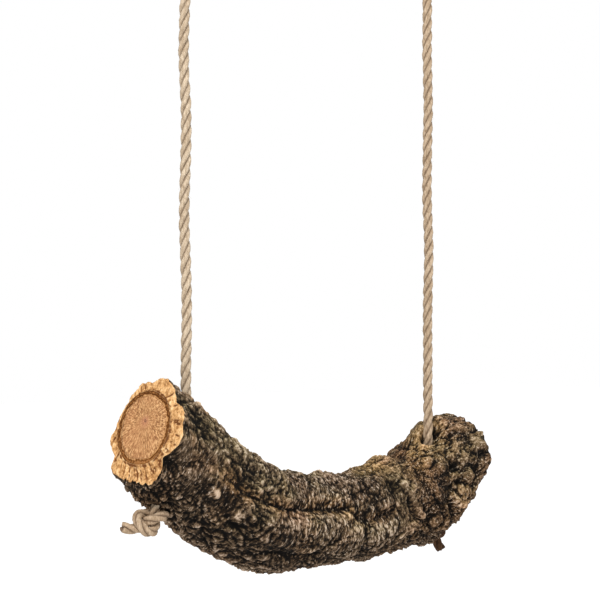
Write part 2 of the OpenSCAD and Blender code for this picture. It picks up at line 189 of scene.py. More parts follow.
def curve_through(points, step):
    """Points a step apart on a smooth curve through the given ones."""
    p = np.asarray(points, float)
    p = np.vstack([2 * p[0] - p[1], p, 2 * p[-1] - p[-2]])
    f = np.linspace(0, 1, 24, endpoint=False)[:, None]
    parts = [spline(*four, f) for four in zip(p[:-3], p[1:-2], p[2:-1], p[3:])]
    dense = np.vstack(parts + [p[-2:-1]])
    return spaced(dense, max(2, int(round(lengths_along(dense)[-1] / step)) + 1))


def carried_frames(path):
    """The path's tangents and two directions square to them, which don't twist."""
    t = unit(np.gradient(path, axis=0))
    e = np.zeros_like(t)
    side = np.array([1, 0.13, 0.07])
    for i in range(len(path)):
        side = side - (side @ t[i]) * t[i]
        side = side / np.linalg.norm(side)
        e[i] = side
    return t, e, np.cross(t, e)


def tube(path, radius):
    """Points and faces of a closed tube. The radius is one for each ring and side."""
    sides, rounding = strand_sides, 0.4
    t, e, f = carried_frames(path)
    a = 2 * np.pi * np.arange(sides) / sides
    out = np.cos(a)[None, :, None] * e[:, None] + np.sin(a)[None, :, None] * f[:, None]
    rings = path[:, None] + radius[..., None] * out
    points = np.vstack([rings.reshape(-1, 3), path[:1] - rounding * t[:1], path[-1:] + rounding * t[-1:]])
    i, j = np.meshgrid(np.arange(len(path) - 1) * sides, np.arange(sides), indexing="ij")
    k = (j + 1) % sides
    quads = np.stack([i + j, i + k, i + k + sides, i + j + sides], -1).reshape(-1, 4).tolist()
    low, high = len(path) * sides, len(path) * sides + 1
    last = low - sides
    caps = [(low, (n + 1) % sides, n) for n in range(sides)]
    caps += [(high, last + n, last + (n + 1) % sides) for n in range(sides)]
    return points, quads + caps


def mesh_piece(name, points, faces, materials, fields):
    """One object of points in millimetres, which carry a number or three in each field."""
    mesh = bpy.data.meshes.new(name)
    mesh.from_pydata((points * MM).tolist(), [], faces)
    for material in materials:
        mesh.materials.append(material)
    for field, values in fields.items():
        of_three = np.ndim(values) == 3
        flat = np.zeros(len(points) * (3 if of_three else 1), np.float32)
        flat[:np.size(values)] = np.ravel(values)
        kept = mesh.attributes.new(field, "FLOAT_VECTOR" if of_three else "FLOAT", "POINT")
        kept.data.foreach_set("vector" if of_three else "value", flat)
    mesh.update()
    mesh.shade_smooth()
    return placed(name, mesh)


def rope_piece(name, parts, soil_and_shade_tint):
    """One object of several (points, faces, how far out in the rope) parts."""
    faces, first = [], 0
    for points, part_faces, _ in parts:
        faces += [[v + first for v in face] for face in part_faces]
        first += len(points)
    fields = {"outward": np.concatenate([part[2] for part in parts]), "soil_and_shade": np.full(first, soil_and_shade_tint)}
    return mesh_piece(name, np.vstack([part[0] for part in parts]), faces, [rope_fibre], fields)


def laid_rope(path, radius, phase, seed, flare=0, kept=slice(None)):
    """Three strands of five yarns each, twisted round a path, or the kept stretch of them."""
    rng = np.random.default_rng(seed)
    _, e, f = carried_frames(path)
    s = lengths_along(path)
    spread = 1 + flare * np.clip((s - s[-1] + frayed_l) / frayed_l, 0, 1) ** 1.5
    strand_r = strand_share * radius
    marks = np.arange(0, s[-1] + 2 * play_every, play_every)
    a = 2 * np.pi * np.arange(strand_sides) / strand_sides
    parts = []
    for k in range(3):
        turn = phase + 2 * np.pi * k / 3 + 2 * np.pi * s / rope_lay
        loose = np.interp(s, marks, rng.normal(0, 1, int(s[-1] / play_every) + 3)[:len(marks)])
        off = (radius - strand_r) * spread * (1 + play * loose)
        line = path + off[:, None] * (np.cos(turn)[:, None] * e + np.sin(turn)[:, None] * f)
        round_yarn = a + 2 * np.pi * s[:, None] / yarn_lay
        yarns = yarn_depth * np.abs(np.cos(2.5 * round_yarn)) - yarn_depth / 2
        rough = yarn_rough * rng.normal(0, 1, (len(path), strand_sides))
        points, faces = tube(line[kept], strand_r * strand_press * (1 + yarns + rough)[kept])
        out = points[:-2].reshape(-1, strand_sides, 3) - path[kept][:, None]
        parts.append((points, faces, np.append(np.linalg.norm(out, axis=2).ravel() / radius, [0.6, 0.6])))
    return parts


def fibres(path, radius, per_mm, longest, seed):
    """Loose fibres that leave the rope along the lay and curl off it."""
    rng = np.random.default_rng(seed)
    t, e, f = carried_frames(path)
    points, faces = [], []
    for _ in range(int(lengths_along(path)[-1] * per_mm)):
        i = rng.integers(0, len(path))
        a = rng.uniform(0, 2 * np.pi)
        out = np.cos(a) * e[i] + np.sin(a) * f[i]
        around = np.cross(t[i], out)
        way = unit(t[i] * rng.choice([-1, 1]) + 0.35 * around * rng.normal() + out * rng.uniform(0.15, 0.6))
        reach = rng.uniform(0.35, 1) * longest
        curl = out * rng.normal(0, 0.3) + around * rng.normal(0, 0.4)
        base = path[i] + out * radius * 0.86
        width = rng.uniform(*fibre_r)
        side, first = unit(np.cross(out, way)), len(points)
        for share, thin in ((0, 1), (0.5, 0.8), (1, 0.3)):
            centre = base + reach * (share * way + share ** 2 * curl * 0.6)
            for spoke in (side, -0.5 * side + 0.87 * out, -0.5 * side - 0.87 * out):
                points.append(centre + spoke * width * thin)
        faces += [[first + n for n in face] for face in fibre_faces]
    return np.array(points), faces, np.ones(len(points))


def own_place(tree):
    return add(tree, "ShaderNodeTexCoord").outputs["Object"]


def carried(tree, name, kind="Fac"):
    """A value that the mesh carries at its points."""
    return add(tree, "ShaderNodeAttribute", attribute_name=name).outputs[kind]


def cloudy(tree, place, scale, detail, roughness=0.5):
    """Soft noise over a surface, from 0 to 1."""
    sockets = [("Vector", place), ("Scale", scale), ("Detail", detail), ("Roughness", roughness)]
    return add(tree, "ShaderNodeTexNoise", sockets).outputs[0]


def spans(tree, value, low, high, to_low=0, to_high=1):
    """The value moved from one span to another, and held within it."""
    sockets = enumerate((value, low, high, to_low, to_high))
    return add(tree, "ShaderNodeMapRange", sockets).outputs[0]


def mixed(tree, share, one, other, kind="MIX"):
    """Two colours mixed by a share, each a plain one or another node's."""
    sockets = [(0, share), (6, one), (7, other)]
    return add(tree, "ShaderNodeMix", sockets, data_type="RGBA", blend_type=kind).outputs[2]


def finished(tree, colour, roughness, specular, normal, metallic=0):
    """The material's surface, joined to its output."""
    surface = add(tree, "ShaderNodeBsdfPrincipled", [
        ("Base Color", colour), ("Roughness", roughness), ("Specular IOR Level", specular),
        ("Normal", normal), ("Metallic", metallic)])
    add(tree, "ShaderNodeOutputMaterial", [("Surface", surface.outputs[0])])


# Fine grain in the finish of rope, cork, bark, wood and drawn wire: a shade and the relief with it
grain_group = bpy.data.node_groups.new("fine_grain", "ShaderNodeTree")
grain_inputs = {"Place": "Vector", "Per Unit": "Vector", "Roughness": "Float", "Low": "Float",
                "High": "Float", "Relief": "Float", "Relief Strength": "Float"}
for title, kind in grain_inputs.items():
    grain_group.interface.new_socket(title, in_out="INPUT", socket_type="NodeSocket" + kind)
for title, kind in (("Shade", "Float"), ("Normal", "Vector")):
    grain_group.interface.new_socket(title, in_out="OUTPUT", socket_type="NodeSocket" + kind)
given = grain_group.nodes.new("NodeGroupInput").outputs
scaled = [(0, given["Place"]), (1, given["Per Unit"])]
scaled = add(grain_group, "ShaderNodeVectorMath", scaled, operation="MULTIPLY").outputs[0]
grain_noise = cloudy(grain_group, scaled, 1, 4, given["Roughness"])
grain_relief = add(grain_group, "ShaderNodeBump", [
    ("Height", grain_noise), ("Strength", given["Relief Strength"]), ("Distance", given["Relief"])])
grain_shade = spans(grain_group, grain_noise, given["Low"], given["High"])
add(grain_group, "NodeGroupOutput", [("Shade", grain_shade), ("Normal", grain_relief.outputs[0])])


def fine_grain(tree, place, per_unit, roughness, relief, strength, low=0.3, high=0.7):
    """The grain's shade and normal over a surface. Per unit is one number or one each way."""
    per_unit = (per_unit,) * 3 if np.isscalar(per_unit) else per_unit
    values = (place, per_unit, roughness, low, high, relief, strength)
    made = add(tree, "ShaderNodeGroup", zip(grain_inputs, values), node_tree=grain_group)
    return made.outputs["Shade"], made.outputs["Normal"]


rope_fibre, tree = new_material("natural_rope")
place = own_place(tree)
thread, fibre_relief = fine_grain(tree, place, (900, 900, 260), 0.6, 0.0004, 0.5)
straw = mixed(tree, thread, (0.4, 0.3, 0.2, 1), (0.83, 0.71, 0.56, 1))
weathered = mixed(tree, cloudy(tree, place, 110, 2), (0.6, 0.53, 0.45, 1), (1, 0.98, 0.94, 1))
toned = mixed(tree, 1, straw, weathered, "MULTIPLY")
# Painted shade: the strands are painted darker where they lie deeper in the rope, in the grooves between
# them.
groove_shade = spans(tree, carried(tree, "outward"), 0.93, 0.62, 0, 0.85)
toned = mixed(tree, groove_shade, toned, (0.16, 0.105, 0.065, 1))
# Darkening carried by the mesh: from 0 to 1 the rope is tinted browner, as soil, and from 1 to 2 it is
# painted much darker, as shade.
soil_and_shade = carried(tree, "soil_and_shade")
for lowest, tint in ((0, (0.66, 0.5, 0.37, 1)), (1, (0.2, 0.15, 0.11, 1))):
    toned = mixed(tree, spans(tree, soil_and_shade, lowest, lowest + 1), toned, tint, "MULTIPLY")
finished(tree, toned, 0.85, 0.25, fibre_relief)

rope_step = 0.9
hidden_top, bends_over = 4, 22
# The right rope, its eye and its stretch inside the log are painted a little darker than the left, as shade,
# since it hangs farther from the key lamp.
rope_soil_and_shade = {"left": 0, "right": 0.3}
bare_foot = 9
for hand, side, wave, run_l, turned, seed in (
        ("left", -1, left_wave, left_run_l, 0.4, 11), ("right", 1, right_wave, right_run_l, 1.7, 12)):
    x_top = side * half_span
    route = [[x_top + x, y, top_pivot_z - run_l * i / (len(wave) - 1)] for i, (x, y) in enumerate(wave)]
    route[0][2] += hidden_top
    path = curve_through(route, rope_step)
    parts = laid_rope(path, rope_r, turned, seed) + [fibres(path[:-bare_foot], rope_r, 1.6, 3, seed)]
    rope = rope_piece(f"{hand}_rope_laid", parts, rope_soil_and_shade[hand])
    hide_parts(f"{hand}_rope")
    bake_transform(rope)

# The stop knots: each rope runs on through the log and is tied off under it in one tight
# overhand knot, which takes the weight. Its cut end is left long enough not to slip, and frays.
knot_squeeze, knot_stretch, knot_size = 6.6, 0.28, 14
# The left knot is tinted browner, as soil; the right knot and its tail are painted near black, as the shade
# under the log.
knot_soil_and_shade = {"left": 0.42, "right": 2}
tied_r = rope_r * 0.97
foot_lift = 1.5
knot_r, knot_from, knot_to = 9.5, 11, 10.5
# Each hole: where its rope goes in, where its knot bears and the way it comes out
holes = {
    "left": np.array([[-108.412, 0, -370.5], [-131.494, 0, -434.503], [-0.33925, 0, -0.940696]]),
    "right": np.array([[108.412, 0, -401.988], [120.902, 16.7092, -460.8], [0.200155, 0.267765, -0.942465]])}


def tightened(path, held, rounds):
    """The path drawn tight where it isn't held, with no stretch through another."""
    pull, push, most = 0.45, 0.35, 0.6
    path = np.array(path, float)
    index = np.arange(len(path))
    step = lengths_along(path)[-1] / (len(path) - 1)
    far_along = np.abs(index[:, None] - index[None]) >= int(np.ceil(1.5 * knot_squeeze / step))
    for _ in range(rounds):
        before = path[held]
        path[1:-1] += pull * ((path[:-2] + path[2:]) / 2 - path[1:-1])
        between = path[:, None] - path[None]
        distance = np.linalg.norm(between, axis=2) + 1e-9
        pressed = np.where(far_along & (distance < knot_squeeze), (knot_squeeze - distance) / distance, 0)
        path += np.clip(push * (pressed[..., None] * between).sum(1), -most, most)
        path[held] = before
    return path


def overhand(way_in, way_out, lead):
    """A loose overhand knot round the origin, drawn tight between its two ends."""
    t = np.linspace(-2.1, 2.1, 84)
    loose = 2.1 * np.stack([t ** 3 - 3 * t, t ** 4 - 4 * t ** 2 - 0.6, 0.2 * (t ** 5 - 10 * t)], 1)
    axis, target = unit(loose[-1] - loose[0]), -unit(way_in)
    v = np.cross(axis, target)
    turn = np.array([[0, -v[2], v[1]], [v[2], 0, -v[0]], [-v[1], v[0], 0]])
    loose = loose @ (np.eye(3) + turn + turn @ turn / (1 + axis @ target)).T
    share = np.linspace(0, 1, 14, endpoint=False)[:, None]
    start, end = unit(way_in) * lead, unit(way_out) * lead
    run_out = loose[-1] + (end - loose[-1]) * (share + 1 / 14)
    loose = np.vstack([start + (loose[0] - start) * share, loose, run_out])
    for _ in range(14):
        loose = tightened(spaced(loose, len(loose)), [0, -1], 75)
    return loose


def laid_along(path, first, last, turned, seed, flare=0):
    """The laid rope between two places on a path. Its pieces meet strand to strand."""
    parts = laid_rope(path, tied_r, turned, seed, flare, slice(first, last))
    return parts + [fibres(path[first:last], tied_r, 2.6, 2.6, seed)]


for hand, knot_h, sits_lower, tail_way, tail_l, turned, seed in (
        ("left", 24, 2, (-10, 2, 0), 11.5, 0.9, 21), ("right", 18, -2, (3.5, -3, -8.5), 15, 2.1, 22)):
    foot, seat, way = holes[hand]
    way = unit(way)
    centre = seat + way * (knot_h / 2 + sits_lower)
    tied = overhand(-way, tail_way, 28)
    in_knot = np.exp(-(np.linalg.norm(tied, axis=1) / knot_size) ** 4)
    tied = centre + tied + knot_stretch * in_knot[:, None] * (tied @ way)[:, None] * way
    reach = np.linalg.norm(tied - centre, axis=1)
    cut = len(tied) - 1 - int(np.argmax(reach[::-1] < knot_r + tail_l))
    path = curve_through(np.vstack([foot - foot_lift * way, (foot + tied[0]) / 2, tied[:cut + 1]]), rope_step)
    reach = np.linalg.norm(path - centre, axis=1)
    enters = int(np.argmax(reach < knot_from))
    leaves = len(path) - int(np.argmax(reach[::-1] < knot_to))
    for part, node, first, last, flare, soil_and_shade_tint in (
            ("rope_inside", "rope_in_log", 0, enters + 1, 0, rope_soil_and_shade),
            ("stop_knot_tied", "stop_knot", enters, leaves + 1, 0, knot_soil_and_shade),
            ("tail_frayed", "tail", leaves, len(path), 0.32, knot_soil_and_shade)):
        parts = laid_along(path, first, last, turned, seed, flare)
        piece = rope_piece(f"{hand}_{part}", parts, soil_and_shade_tint[hand])
        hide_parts(f"{hand}_{node}")
        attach(piece, "log")

# The eyes: the top of each rope is turned over its hook, brought back and tied round itself
# in a tight knot, so that the loop can't slip. Its cut end is left beside the knot.
eye_knot_z, eye_knot_h = -54.2, 16
wrap_r, wrap_pitch, eye_tail_from = 8.4, 8, 10
half_eye = [[3.7, 0], [4.2, 4], [6, 9], [8, 14], [8.6, 19], [7, 24], [3.8, 27], [0, 28]]
loop_up = [(0, y, eye_knot_z + z) for y, z in half_eye]
loop_down = [(0, -y, eye_knot_z + z) for y, z in half_eye[-2::-1]]
wrap = [(wrap_r * math.sin(a), -wrap_r * math.cos(a), eye_knot_z - 3 - wrap_pitch * a / 10)
        for a in np.linspace(0.3, 10.6, 26)]
eye_route = [(0, 0, eye_knot_z - eye_knot_h - 6), (0, 0, eye_knot_z - eye_knot_h), (0, 0.8, eye_knot_z - 8)]
eye_route += loop_up + loop_down + wrap
eye_route += [(1.9, -9, eye_knot_z - 12), (3.2, -16, eye_knot_z - 14), (4.6, -23, eye_knot_z - 16.5)]
loose = curve_through(eye_route, 1.15)
held = [0, 1, 2, 3, -1, -2] + [i for i, p in enumerate(loose) if p[2] > eye_knot_z + 2]
tied = tightened(loose, held, 900)
eye_pieces = {"left": [], "right": []}
for hand, side, turned, seed in (("left", -1, 0.5, 31), ("right", 1, 1.9, 32)):
    path = curve_through(tied + [side * half_span, 0, 0], rope_step)
    above = np.flatnonzero(path[:, 2] > eye_knot_z - 0.5)
    first, last = above[0], above[-1]
    out = np.linalg.norm(path[:, :2] - [side * half_span, 0], axis=1)
    leaves = len(path) - int(np.argmax(out[::-1] < eye_tail_from))
    for part, node, at, to, flare in (
            ("eye_knot_tied", "eye_knot", 0, first + 1, 0), ("eye_laid", "eye", first, last + 1, 0),
            ("eye_tail_frayed", "eye_tail", leaves, len(path), 0.22)):
        parts = laid_along(path, at, to, turned, seed, flare)
        if node == "eye_knot":
            parts += laid_along(path, last, leaves + 1, turned, seed)
        piece = rope_piece(f"{hand}_{part}", parts, rope_soil_and_shade[hand])
        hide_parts(f"{hand}_{node}")
        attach(piece, f"{hand}_loop")
        eye_pieces[hand].append(piece)

# The hooks: two lengths of bright 4 mm steel wire, each bent into an S that hangs on the
# cage's top bar and holds an eye of the rope in its lower bend.
steel, tree = new_material("bent_steel_wire")
place = own_place(tree)
_, scored = fine_grain(tree, place, (500, 500, 60), 0.6, 0.0002, 0.15)
smears = cloudy(tree, place, 140, 3)
zinc = mixed(tree, smears, (0.27, 0.28, 0.3, 1), (0.45, 0.46, 0.48, 1))
finished(tree, zinc, spans(tree, smears, 0.3, 0.7, 0.24, 0.42), 0.5, scored, metallic=1)
for node in ("left_hook", "right_hook"):
    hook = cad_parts[node]
    hook.data.materials.clear()
    hook.data.materials.append(steel)

# The cork bark: the log's own deeply cracked bark, left on all round and sawn off square at
# both ends with the log. Its lumps and folds are grown ones. Orange cork shows where it is
# sawn, a hollow is worn round each rope on top and one is cut for each stop knot below.
log_l, log_wander, log_bow, mean_r = 282, 10, 70, 36
log_move = np.array([0.056907, 1, -456.711])
wood_r, inner_bark_t, bond_gap = 23.2, 3.8, 0.05
pith_side, pith_up, core_oval_share, core_oval_angle, core_taper = 4.5, 3, 0.09, 3, 0.07
bark_relief, bark_ripple = 6, 1.1
oval_share, oval_angle = 0.05, 170
bark_along, bark_round = 360, 250
# Along, sideways, height, radius and lean at ten places along the log
station_shares = np.array([
    [-0.496, -0.1, 1, 1.014, 16], [-0.408, -0.1, 0.729, 1, 28], [-0.277, -0.1, 0.286, 0.972, 32],
    [-0.145, 0, 0.043, 0.944, 16], [-0.043, 0, 0, 0.861, 4], [0.085, 0, 0, 0.889, -3],
    [0.216, 0.2, 0.107, 0.944, -12], [0.312, 0.5, 0.178, 0.955, -15], [0.408, 0.8, 0.329, 1.05, -12],
    [0.51, 0.9, 0.414, 0.944, 5]])
# Lumps and folds: place along, angle round (90 is up, 180 the front), widths and height
lumps = [
    (0.72, 80, 0.12, 50, -0.4), (0.6, 80, 0.05, 40, -0.2), (0.42, 85, 0.16, 45, 0.3),
    (0.79, 80, 0.04, 45, -0.75), (0.835, 85, 0.03, 40, -0.7), (0.83, 260, 0.06, 40, 0.55),
    (0.05, 300, 0.05, 30, 0.3), (0.945, 75, 0.05, 38, 0.9), (0.99, 100, 0.04, 40, 0.75),
    (0.885, 118, 0.03, 20, -0.6), (1, 165, 0.05, 35, 0.85), (1, 250, 0.06, 50, -0.6),
    (0.38, 80, 0.05, 40, 0.5), (0.15, 75, 0.06, 40, -0.2), (0.28, 100, 0.03, 30, 0.35),
    (0.36, 255, 0.06, 50, 0.08), (0.08, 270, 0.05, 40, 0.3), (0.52, 262, 0.04, 40, -0.25),
    (0.6, 262, 0.05, 40, 0.1), (0.17, 262, 0.05, 35, 0.45), (0.4, 190, 0.1, 20, 0.5),
    (0.55, 205, 0.08, 18, 0.5), (0.72, 150, 0.05, 25, 0.35), (0.8, 215, 0.05, 30, 0.3),
    (0.25, 200, 0.04, 18, 0.35), (0.18, 160, 0.035, 16, -0.3), (0.2, 20, 0.05, 25, 0.45),
    (0.33, 330, 0.05, 22, -0.5), (0.47, 10, 0.06, 25, 0.5), (0.6, 335, 0.05, 20, 0.45),
    (0.7, 15, 0.05, 22, -0.5), (0.82, 340, 0.05, 24, 0.5), (0.165, 177, 0.035, 9, -0.3),
    (0.215, 172, 0.04, 9, -0.4), (0.285, 164, 0.045, 8.5, -0.6), (0.36, 157, 0.045, 8.5, -0.7),
    (0.44, 153, 0.045, 8.5, -0.75), (0.5, 155, 0.03, 9, -0.65), (0.54, 173, 0.03, 9, -0.7),
    (0.595, 176, 0.035, 9, -0.6), (0.38, 128, 0.1, 18, 0.3), (0.55, 125, 0.06, 20, 0.3),
    (0.28, 184, 0.06, 12, 0.4), (0.4, 176, 0.07, 12, 0.45), (0.49, 182, 0.035, 14, 0.4),
    (0.552, 192, 0.014, 16, -0.45), (0.552, 216, 0.014, 14, -0.4), (0.33, 216, 0.045, 8, -0.55),
    (0.41, 216, 0.045, 8, -0.55), (0.6, 196, 0.03, 14, 0.35), (0.655, 204, 0.03, 12, 0.4),
    (0.905, 202, 0.04, 15, 0.5), (0.84, 200, 0.016, 22, -0.5), (0.885, 179, 0.03, 8, -0.5),
    (0.888, 161, 0.022, 9, -0.6), (0.905, 149, 0.03, 10, 0.35), (0.975, 145, 0.03, 16, 0.3),
    (0.845, 122, 0.018, 8, -0.45), (0.81, 118, 0.025, 12, 0.3), (0.07, 126, 0.07, 9, 0.3),
    (0.05, 151, 0.04, 12, -0.3), (0.955, 172, 0.02, 12, -0.6), (0.845, 78, 0.016, 28, -0.45),
    (0.62, 90, 0.04, 28, -0.25), (0.175, 128, 0.025, 16, 0.45), (0.225, 112, 0.035, 24, 0.6),
    (0.29, 116, 0.03, 22, 0.4), (0.395, 84, 0.03, 28, 0.45), (0.44, 104, 0.03, 22, 0.4),
    (0.51, 80, 0.028, 24, 0.7), (0.71, 86, 0.024, 24, 0.6), (0.885, 54, 0.03, 22, -0.85),
    (1, 200, 0.04, 20, -0.9), (0.836, 244, 0.024, 18, -0.45), (0.557, 254, 0.02, 20, -0.6),
    (0.939, 98, 0.016, 12, 0.3), (0.952, 118, 0.016, 11, 0.35), (0.985, 143, 0.018, 11, 0.35),
    (0.972, 158, 0.012, 9, -0.45), (0.978, 172, 0.018, 11, 0.35), (0.791, 174, 0.015, 11, 0.45),
    (0.691, 168, 0.015, 11, 0.35), (0.713, 188, 0.017, 12, 0.4), (0.68, 176, 0.012, 9, -0.35),
    (0.836, 154, 0.016, 12, 0.35), (0.794, 143, 0.017, 12, 0.35), (0.76, 158, 0.015, 12, -0.35),
    (0.75, 200, 0.018, 14, -0.3), (0.645, 144, 0.02, 14, -0.3), (0.6, 150, 0.02, 12, 0.3)]
# The near sawn end's outline, every 10 degrees round, and how far along the log it fades out
near_rim = np.array([
    1.064, 1.028, 1.017, 0.992, 0.997, 1.022, 1.019, 0.969, 0.933, 1, 1.039, 1.031,
    1.022, 1, 0.95, 1.067, 1.136, 1.114, 1.186, 1.106, 0.956, 0.839, 1.017, 1.039,
    1.053, 0.972, 0.947, 0.919, 0.922, 0.964, 1.008, 1.089, 1.139, 1.017, 1.081, 1.147])
rim_reach = 0.06


def stations_at(u):
    """Middle, mean radius and the up direction of the log's cross sections."""
    n = len(station_shares) - 1
    table = station_shares * [log_l, log_wander, log_bow, mean_r, 1]
    table = np.vstack([2 * table[0] - table[1], table, 2 * table[-1] - table[-2]])
    k = np.minimum((u * n).astype(int), n - 1)
    s = spline(table[k], table[k + 1], table[k + 2], table[k + 3], (u * n - k)[:, None])
    lean = np.radians(s[:, 4])
    return s[:, :3] + log_move, s[:, 3], np.stack([np.sin(lean), 0 * lean, np.cos(lean)], 1)


def on_section(middle, up, radius):
    """Points at a radius all round on cross sections of the log."""
    sideways = np.cos(angle)[:, None] * np.array([0, 1, 0])
    return middle[:, None] + radius[..., None] * (sideways + np.sin(angle)[:, None] * up[:, None])


def turn_of(a, b):
    return (a - b + 180) % 360 - 180


def round_to(a, b):
    """Millimetres round the log from one angle to the other."""
    return np.radians(turn_of(a, b)) * mean_r


def ramp(low, high, x):
    t = np.clip((x - low) / (high - low), 0, 1)
    return t * t * (3 - 2 * t)


u = np.linspace(0, 1, bark_along)
degrees = 360 * np.arange(bark_round) / bark_round
angle = np.radians(degrees)
u_down = u[:, None]
middle, section_r, up = stations_at(u)
oval = 1 + oval_share * np.cos(2 * np.radians(degrees - oval_angle)) * (1 - u_down)
bark_r = section_r[:, None] * oval
for at_u, at_angle, wide_u, wide_angle, height in lumps:
    off_u, off_angle = (u_down - at_u) / wide_u, turn_of(degrees, at_angle) / wide_angle
    bark_r += bark_relief * height * np.exp(-off_u ** 2 - off_angle ** 2)
v, a = 2 * np.pi * u_down, angle
lengthwise = 7.5 * v + 1.2 * np.sin(2 * a + 0.5) + 0.9 * np.sin(5 * a + 3 * v)
roundwise = 6 * a + 1.4 * np.sin(2.3 * v + 0.7) + 0.8 * np.sin(3 * a + 5 * v)
bark_r += bark_ripple * np.sin(lengthwise) * np.sin(roundwise)
k = (degrees / 10).astype(int)
four = [near_rim[(k + n) % len(near_rim)] for n in (-1, 0, 1, 2)]
rim = mean_r * spline(*four, degrees / 10 % 1)
rim_share = (1 + np.cos(np.pi * np.minimum(u_down / rim_reach, 1))) / 2
bark_r = rim_share * rim + (1 - rim_share) * bark_r
skin = on_section(middle, up, bark_r)

# Places on the unrolled skin, in millimetres, for the grain of the bark
run = lengths_along(middle)
unrolled = np.stack(np.broadcast_arrays(run[:, None], mean_r * np.cos(angle), mean_r * np.sin(angle)), -1)


def noise_at(places):
    """Smooth noise at rows of places, from -1 to 1."""
    return np.array([noise.noise(p) for p in places.reshape(-1, 3).tolist()]).reshape(places.shape[:-1])


def rough(size, at=unrolled, shift=0):
    """Noise over the skin. Size is one length or one along and one round."""
    along, around = (size, size) if np.isscalar(size) else size
    return noise_at(at / [along, around, around] + shift)


def plates(size, at, shift):
    """How far each place is from the edge of its bark plate, and from the plate's middle."""
    along, around = size
    places = at / [along, around, around] + shift
    found = [noise.voronoi(p)[0][:2] for p in places.reshape(-1, 3).tolist()]
    near, second = np.array(found).T.reshape(2, *bark_r.shape)
    return second - near, near


def spot(at_u, at_angle, size):
    """1 at a place on the skin, fading to 0 over that many millimetres."""
    return np.exp(-(((u_down - at_u) * run[-1]) ** 2 + round_to(degrees, at_angle) ** 2) / size ** 2)


# Which kind of bark grows where: deep crevices below, round knobs towards the far end, fine
# cuts near the sawn end, wrinkles between them and a smoother patch on the near end's front
warp = np.stack([rough(13, shift=s) for s in (3.1, 7.7, 12.9)], -1)
bent = unrolled + 4.5 * warp + 1.2 * np.stack([rough(4, shift=s) for s in (21.3, 27.1, 33.5)], -1)
under = np.exp(-(turn_of(degrees, 268) / 52) ** 2)
knobby = ramp(0.58, 0.76, u_down)
fine_cut = (1 - ramp(0.2, 0.34, u_down)) * (1 - 0.7 * under)
wrinkled = np.clip(1 - knobby - fine_cut, 0, 1) * (1 - 0.6 * under)
smooth = np.exp(-(turn_of(degrees, 196) / 36) ** 2) * (1 - ramp(0.15, 0.23, u_down))
lumpy = knobby * (0.35 + 0.65 * ramp(-0.3, 0.4, rough(20, shift=14.2)))


def bumps(size, shift):
    """Rounded bumps of that size, from 0 to 2, with sharp lines between them."""
    return 2 * np.abs(rough(size, bent, shift))


# The bark's own forms, each by the size it has: knobs, plates, chips, fissures, folds and grain
knob_edge, knob_near = plates((10.5, 8.5), unrolled + 9 * warp, 0.37)
plate_edge, _ = plates((13, 9), bent, 3.3)
chip_edge, chip_near = plates((3.9, 3.3), bent, 5.11)
fissure = np.exp(-(rough((34, 7.5), bent, 2.2) / 0.05) ** 2)
fold = 1 - bumps((5.5, 17), 8.8)
wrinkle = 1 - bumps((2.3, 8.5), 4.4)
grain = rough(1.6, shift=9.1)
swell = rough(12, bent, 6.6)
lump = bumps((8, 6.5), 17.7)
lobe = bumps(13, 35.3)
lumplet = bumps((3.9, 3.4), 23.1)
scale = bumps((1.9, 1.7), 29.9)
# How far each form stands out or sinks in, in millimetres
knob_high, chip_high = 1.3 * lumpy + 0.7 * under, 0.2 + 0.15 * knobby + 0.4 * under
chip_deep = 0.25 * fine_cut + 0.25 * wrinkled + 0.15 * knobby + 0.5 * under
plate_deep = 0.6 * fine_cut + 0.6 * wrinkled + 0.6 * under
detail = -(0.9 * lumpy + 0.8 * under) * (1 - ramp(0, 0.26, knob_edge)) + knob_high * (0.45 - knob_near)
detail += -plate_deep * (1 - 0.7 * smooth) * (1 - ramp(0, 0.08, plate_edge))
detail += -chip_deep * (1 - ramp(0, 0.2, chip_edge)) + chip_high * (0.45 - chip_near)
detail += -(0.7 + 1.2 * under) * (1 - 0.5 * smooth) * fissure
detail += ((0.1 + 0.62 * wrinkled + 0.5 * smooth) * wrinkle + 0.9 * wrinkled * fold
           + (0.4 - 0.2 * smooth) * grain + (0.9 - 0.4 * smooth) * swell)
detail += (1.6 * fine_cut + 1.2 * under + 0.45 * knobby + 0.5 * wrinkled) * (1 - 0.85 * smooth) * lump
detail += (2.3 * knobby + 0.8 * under + 0.8 * fine_cut) * (1 - smooth) * lobe
detail += (0.35 * fine_cut + 0.4 * under + 0.3 * knobby + 0.12 * wrinkled) * (1 - 0.6 * smooth) * lumplet
detail += (0.3 - 0.16 * wrinkled - 0.2 * smooth) * scale
